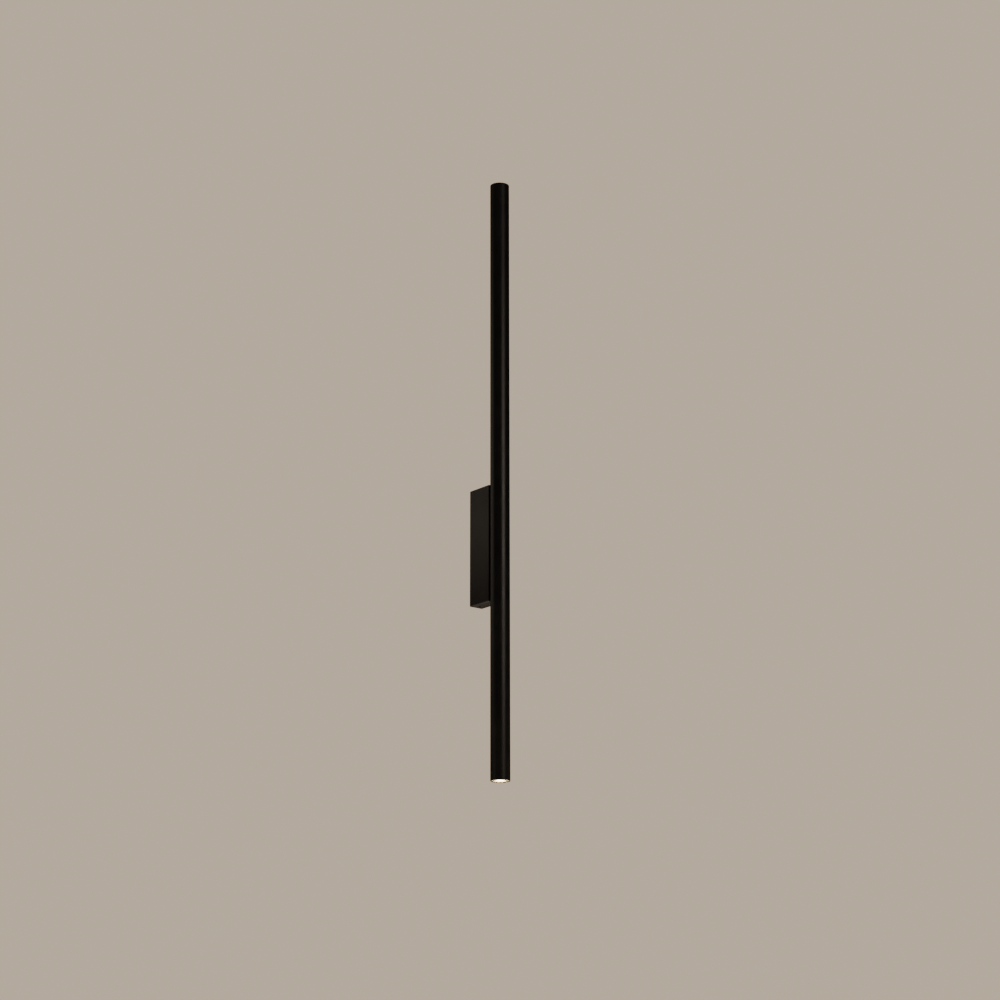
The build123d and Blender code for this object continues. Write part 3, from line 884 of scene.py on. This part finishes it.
class LIGHT_OT_screws(bpy.types.Operator):
    """Builds the screws with their threads, hexagon heads and hexagon socket"""
    bl_idname = "tube_light.screws"
    bl_label = "Screws"

    SIDES = 48
    STEPS = 8  # rings that draw one turn of a thread
    SHARP = 30.0

    def execute(self, context):
        # The upper screw's head lies on the box, and the lower one's on the earth tag's ring.
        top = screws_high.y - M4_HEAD
        tag = 0.8 * MM  # the ring's thickness
        places = (
            ("upper_tube_screw", "tube_screws", top - tag, SCREW_HEIGHT, screws_low.y),
            ("lower_tube_screw", "tube_screws", top, -SCREW_HEIGHT, screws_low.y + tag),
            (
                "hexagon_earth_screw", "earth_screw", earth_screw_low.y + M4_HEAD, EARTH_SCREW.z,
                earth_screw_high.y,
            ),
        )
        for name, node, seat, height, tip in places:
            out = -1 if node == "earth_screw" else 1
            rings = self.head() + self.thread(M4, M4_PITCH, 0, abs(tip - seat))
            place = across(0, seat, height, (0, out, 0))
            screw = solid(name, wrap, rings, place, sharp=self.SHARP)
            dress(screw, "zinc_steel", node)
        length = grub_high.z - grub_low.z
        rings = self.socket() + self.thread(GRUB_RADIUS, GRUB_PITCH, GRUB_BEVEL, length)
        place = across(GRUB.x, GRUB.y, grub_low.z, (0, 0, -1))
        grub = solid("socket_grub_screw", wrap, rings, place, sharp=self.SHARP)
        dress(grub, "black_screw", "box_grub_screw")
        return {"FINISHED"}

    def hexagon(self, flats):
        """Radii of a hexagon with a corner on X."""
        step = 360 / self.SIDES
        return [
            flats / 2 / math.cos(math.radians((i * step) % 60 - 30)) for i in range(self.SIDES)
        ]

    def head(self):
        """A hexagon head, whose corners are turned off at 30 degrees. Its underside is at 0."""
        flat = 0.475 * M4_FLATS  # the radius of the round flat on top
        steps, drop_step, slope = 7, 0.07 * MM, math.tan(math.radians(30))
        rings = []
        for step in range(steps):
            drop = drop_step * step
            turned = flat + drop / slope
            rings.append((M4_HEAD - drop, [min(r, turned) for r in self.hexagon(M4_FLATS)]))
        return rings + [(0.0, self.hexagon(M4_FLATS))]

    def socket(self):
        """A hexagon socket in a flat end, with a small countersink. The end is at 0."""
        key = self.hexagon(1.56 * MM)  # a 1.5 mm key, with its play
        sink = 0.12 * MM
        return [
            (-GRUB_RADIUS, key), (-sink, key), (0.0, [r + sink for r in key]),
            (0.0, [GRUB_RADIUS - GRUB_BEVEL] * self.SIDES),
        ]

    def thread(self, radius, pitch, start, length):
        """A right-hand thread down from start, which runs in and out over its end turns."""
        depth = 0.61 * pitch  # as in a metric thread
        first, last = 0.05, 0.35  # how much of that depth it has at its two ends
        flat = 0.125  # how much of the pitch the crest is, and the root
        rings = []
        count = round((length - start) / pitch * self.STEPS)
        for number in range(count + 1):
            down = start + (length - start) * number / count
            run = min(1.0, (down - start) / pitch + first, (length - down) / pitch + last)
            radii = []
            for i in range(self.SIDES):
                phase = (-down / pitch - i / self.SIDES) % 1
                ridge = min(1.0, max(0.0, (1 + 2 * flat) * abs(2 * phase - 1) - flat))
                chamfer = min(0.0, length - down - 0.5 * pitch)
                radii.append(radius - depth * run * (1 - ridge) + chamfer)
            rings.append((-down, radii))
        return rings


class LIGHT_OT_leads(bpy.types.Operator):
    """Builds the insulated leads inside the box and the tube"""
    bl_idname = "tube_light.leads"
    bl_label = "Leads"

    SIDES = 20
    STEP = 7.5  # in degrees, along a bend

    def execute(self, context):
        settings = context.scene.tube_light_fixing
        mains, head = settings.mains_radius / MM, settings.head_radius / MM
        # Each lead's corners in millimetres, and the radius of the bend at each inner corner.
        board = -28.8  # the driver board's back, on which the leads lie
        mains_exit, head_exit = 9, 54.3  # heights at which they leave the driver
        axis = TUBE_AXIS.y / MM
        down, back = -46.0, -6.5  # the mains leads turn back up into the block's entries
        spring = (block_low.z + block_high.z) / 2 / MM - 0.4
        for slot, pole in (("live", -4.6), ("neutral", 4.6)):
            self.lead(
                slot + "_wire", slot + "_sleeve", mains, (5, 5),
                [(pole, board + mains, mains_exit), (pole, board + mains, down),
                 (pole, back, down), (pole, back, spring)],
            )
        low_tag, high_tag = -40.8, -35.8  # the earth lead's ends, at the bracket and the box
        self.lead(
            "earth_wire", "earth_sleeve", mains, (4, 4),
            [(0, -2.3, low_tag), (0, -17, low_tag), (0, -22, high_tag), (0, -35.2, high_tag)],
        )
        hole = WIRE_HOLE.z / MM
        side, solder = 9.4, 6.0  # distances from the tube's axis
        depth = 12  # of the LED boards' backs, in the tube's ends
        ends = {
            "upper": tube_high.z / MM - depth + head, "lower": tube_low.z / MM + depth - head,
        }
        for node, slot, place, spread, end in (
            ("feed_wire", "red_sleeve", 1.5, 13, "upper"),
            ("return_wire", "black_sleeve", -1.5, -18, "lower"),
        ):
            self.lead(
                node, slot, head, (5, 5, 8, 1.6),
                [(place, board + head, head_exit), (place, board + head, hole),
                 (place, axis, hole), (side, axis, hole + spread), (side, axis, ends[end]),
                 (solder, axis, ends[end])],
            )
        self.lead(
            "link_wire", "white_sleeve", head, (1.6, 1.6),
            [(-solder, axis, ends["upper"]), (-side, axis, ends["upper"]),
             (-side, axis, ends["lower"]), (-solder, axis, ends["lower"])],
        )
        return {"FINISHED"}

    def lead(self, node, slot, radius, bends, corners):
        """A round wire along straight runs that are joined by bends."""
        path = self.path([Vector(c) for c in corners], bends)

        def sleeve(shape):
            rings = []
            ahead = (path[1] - path[0]).normalized()
            out = ahead.orthogonal().normalized()
            for i, point in enumerate(path):
                here = (path[min(i + 1, len(path) - 1)] - path[max(i - 1, 0)]).normalized()
                out = ahead.rotation_difference(here) @ out
                ahead = here
                other = ahead.cross(out)
                rings.append([
                    shape.verts.new(
                        (point + radius * (math.cos(a) * out + math.sin(a) * other)) * MM
                    )
                    for a in (TURN * j / self.SIDES for j in range(self.SIDES))
                ])
            skin(shape, rings)

        wire = solid(node.replace("wire", "lead"), sleeve, sharp=50.0)
        dress(wire, slot, node)

    def path(self, corners, bends):
        """The corners with a round bend in place of each inner one."""
        points = [corners[0]]
        for bend, last, here, following in zip(bends, corners, corners[1:], corners[2:]):
            back, ahead = (last - here).normalized(), (following - here).normalized()
            half = back.angle(ahead) / 2
            centre = here + (back + ahead).normalized() * (bend / math.sin(half))
            first = here + back * (bend / math.tan(half)) - centre
            final = here + ahead * (bend / math.tan(half)) - centre
            turn = first.rotation_difference(final)
            steps = max(4, round(math.degrees(turn.angle) / self.STEP))
            for step in range(steps + 1):
                part = Quaternion().slerp(turn, step / steps)
                points.append(centre + part @ first)
        return points + [corners[-1]]


class LIGHT_OT_inner(bpy.types.Operator):
    """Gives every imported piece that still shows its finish"""
    bl_idname = "tube_light.inner"
    bl_label = "Inner pieces"

    def execute(self, context):
        for row in frame["record"]["subparts"]:
            paint(frame["nodes"][row["node"]], row["material_slot"])
        return {"FINISHED"}


class LIGHT_OT_stage(bpy.types.Operator):
    """Sets the floor, the soft light and the camera"""
    bl_idname = "tube_light.stage"
    bl_label = "Stage"

    def execute(self, context):
        settings = context.scene.tube_light_stage
        self.floor(settings)
        self.air(settings)
        # Each softbox: its name, centre, width, height and brightness. The key and the wall-side
        # one are high, for the photograph's view from below. The two strips stand low, so that
        # they draw a line on the black coat in the views from above.
        for name, centre, width, height, brightness in (
            ("key_softbox", (0.16, -3.04, 0.87), 1.7, 0.6, settings.key),
            ("wall_side_softbox", (-1.7, 2.3, 1.0), 2.8, 0.85, settings.wall_side),
            ("right_strip", (1.77, -0.99, -0.83), 0.4, 1.24, settings.strips),
            ("back_strip", (-1.9, 0.57, -0.63), 0.4, 0.77, settings.strips),
        ):
            self.softbox(name, centre, width, height, brightness)
        self.flag()
        self.ceiling(settings)
        self.camera()
        return {"FINISHED"}

    def floor(self, settings):
        """A wide pale floor, well below the light."""
        reach, sides, thickness = 40.0, 72, 0.02
        below = Matrix.Translation((0, 0, settings.floor_height - thickness))
        floor = solid("floor", prism, circle((0, 0), reach, sides), below, thickness)
        # Emulsion paint on a smooth floor: pale and even, with no gloss.
        floor.data.materials.append(finish(
            "pale matt floor", tuple(settings.air_colour), tuple(settings.air_colour),
            cloud_mm=900, grain_mm=40, relief_mm=0.2, rough=(0.8, 0.9),
            **{"Specular IOR Level": 0.0},
        ))

    def ceiling(self, settings):
        """Soft light straight down, which makes the floor as pale as the air."""
        light = bpy.data.lights.new("ceiling", "SUN")
        light.energy = settings.ceiling * math.pi
        light.angle = math.radians(50)  # wide, for soft shadows
        lamp = bpy.data.objects.new("ceiling", light)
        lamp.location = (0, 0, 3)
        bpy.context.scene.collection.objects.link(lamp)

    def air(self, settings):
        """Plain surroundings, which light the object only softly."""
        world = bpy.data.worlds.new("plain surroundings")
        world.use_nodes = True
        tree = world.node_tree
        tree.nodes.clear()
        seen = add(tree, "ShaderNodeBackground", {"Color": tuple(settings.air_colour)})
        fill = add(
            tree, "ShaderNodeBackground",
            {"Color": linear("#fff3e2"), "Strength": settings.fill},
        )
        path = add(tree, "ShaderNodeLightPath").outputs["Is Camera Ray"]
        both = add(
            tree, "ShaderNodeMixShader", None,
            {0: path, 1: fill.outputs[0], 2: seen.outputs[0]},
        )
        add(tree, "ShaderNodeOutputWorld", None, {"Surface": both.outputs[0]})
        bpy.context.scene.world = world

    def flag(self):
        """A black board far behind the light, which keeps the bright floor off the box's
        underside: painted shade, a dark reflection that stands in for a shaded wall there. Only
        reflections see it."""
        width, height, thickness = 1.78, 0.7, 0.01
        foot, facing = (1.355, 1.734, -0.966), math.radians(142)
        corners = [(-width / 2, 0), (width / 2, 0), (width / 2, height), (-width / 2, height)]
        place = Matrix.Translation(foot) @ Matrix.Rotation(facing, 4, "Z") @ UPRIGHT
        flag = solid("painted_shade_flag", prism, corners, place, thickness)
        # Felted wool: dead black, with a nap. This cloth is painted shade, seen only in
        # reflections.
        flag.data.materials.append(finish(
            "painted shade flag cloth", linear("#0d0d0d"), linear("#121212"),
            cloud_mm=60, grain_mm=2, relief_mm=0.1, rough=(0.9, 0.95),
        ))
        flag.visible_camera = False
        flag.visible_shadow = False
        flag.visible_diffuse = False

    def softbox(self, name, centre, width, height, radiance):
        """A soft rectangular light that looks at the tube and that the camera doesn't see."""
        light = bpy.data.lights.new(name, "AREA")
        light.shape = "RECTANGLE"
        light.size = width
        light.size_y = height
        light.energy = radiance * math.pi * width * height
        light.color = linear("#fff0dc")[:3]
        lamp = bpy.data.objects.new(name, light)
        lamp.location = centre
        away = TUBE_AXIS - Vector(centre)
        lamp.rotation_euler = away.to_track_quat("-Z", "Y").to_euler()
        lamp.visible_camera = False
        bpy.context.scene.collection.objects.link(lamp)

    def camera(self):
        """The camera, below the light and to its left, looking up at it."""
        tilt, swing, roll = math.radians(16.341), math.radians(38.19), math.radians(-0.067)
        away, below = 3.0126, 0.5195  # from the tube's axis, and under its lower end
        focal, picture = 2446, 1000  # in pixels
        camera = bpy.data.cameras.new("camera")
        camera.sensor_width = 36.0
        camera.lens = camera.sensor_width * focal / picture
        camera.clip_start, camera.clip_end = 0.05, 200
        eye = bpy.data.objects.new("camera", camera)
        forward = Vector((
            math.sin(swing) * math.cos(tilt), math.cos(swing) * math.cos(tilt), math.sin(tilt)
        ))
        turn = forward.to_track_quat("-Z", "Y").to_matrix() @ Matrix.Rotation(roll, 3, "Z")
        eye.rotation_euler = turn.to_euler()
        eye.location = (
            TUBE_AXIS.x - away * math.sin(swing), TUBE_AXIS.y - away * math.cos(swing),
            tube_low.z - below,
        )
        bpy.context.scene.collection.objects.link(eye)
        bpy.context.scene.camera = eye


STEPS = (
    LIGHT_OT_tube, LIGHT_OT_wall_box, LIGHT_OT_optics, LIGHT_OT_bracket, LIGHT_OT_screws,
    LIGHT_OT_grommets, LIGHT_OT_leads, LIGHT_OT_inner, LIGHT_OT_stage,
)
GROUPS = {
    "tube_light_tube": TubeSettings,
    "tube_light_box": BoxSettings,
    "tube_light_fixing": FixingSettings,
    "tube_light_optics": OpticSettings,
    "tube_light_stage": StageSettings,
}


class LIGHT_PT_panel(bpy.types.Panel):
    """Lists the light's pieces and their settings"""
    bl_idname = "LIGHT_PT_panel"
    bl_label = "Tube wall light"
    bl_space_type = "VIEW_3D"
    bl_region_type = "UI"
    bl_category = "Tube light"

    def draw(self, context):
        for group, kind in GROUPS.items():
            column = self.layout.column(align=True)
            for name in kind.__annotations__:
                column.prop(getattr(context.scene, group), name)
        for step in STEPS:
            self.layout.operator(step.bl_idname)


CLASSES = (*GROUPS.values(), *STEPS, LIGHT_PT_panel)


def register():
    for kind in CLASSES:
        bpy.utils.register_class(kind)
    for group, kind in GROUPS.items():
        setattr(bpy.types.Scene, group, PointerProperty(type=kind))


def unregister():
    for group in GROUPS:
        delattr(bpy.types.Scene, group)
    for kind in reversed(CLASSES):
        bpy.utils.unregister_class(kind)


def main():
    register()
    for step in STEPS:
        family, action = step.bl_idname.split(".")
        getattr(getattr(bpy.ops, family), action)()


if __name__ == "__main__":
    main()
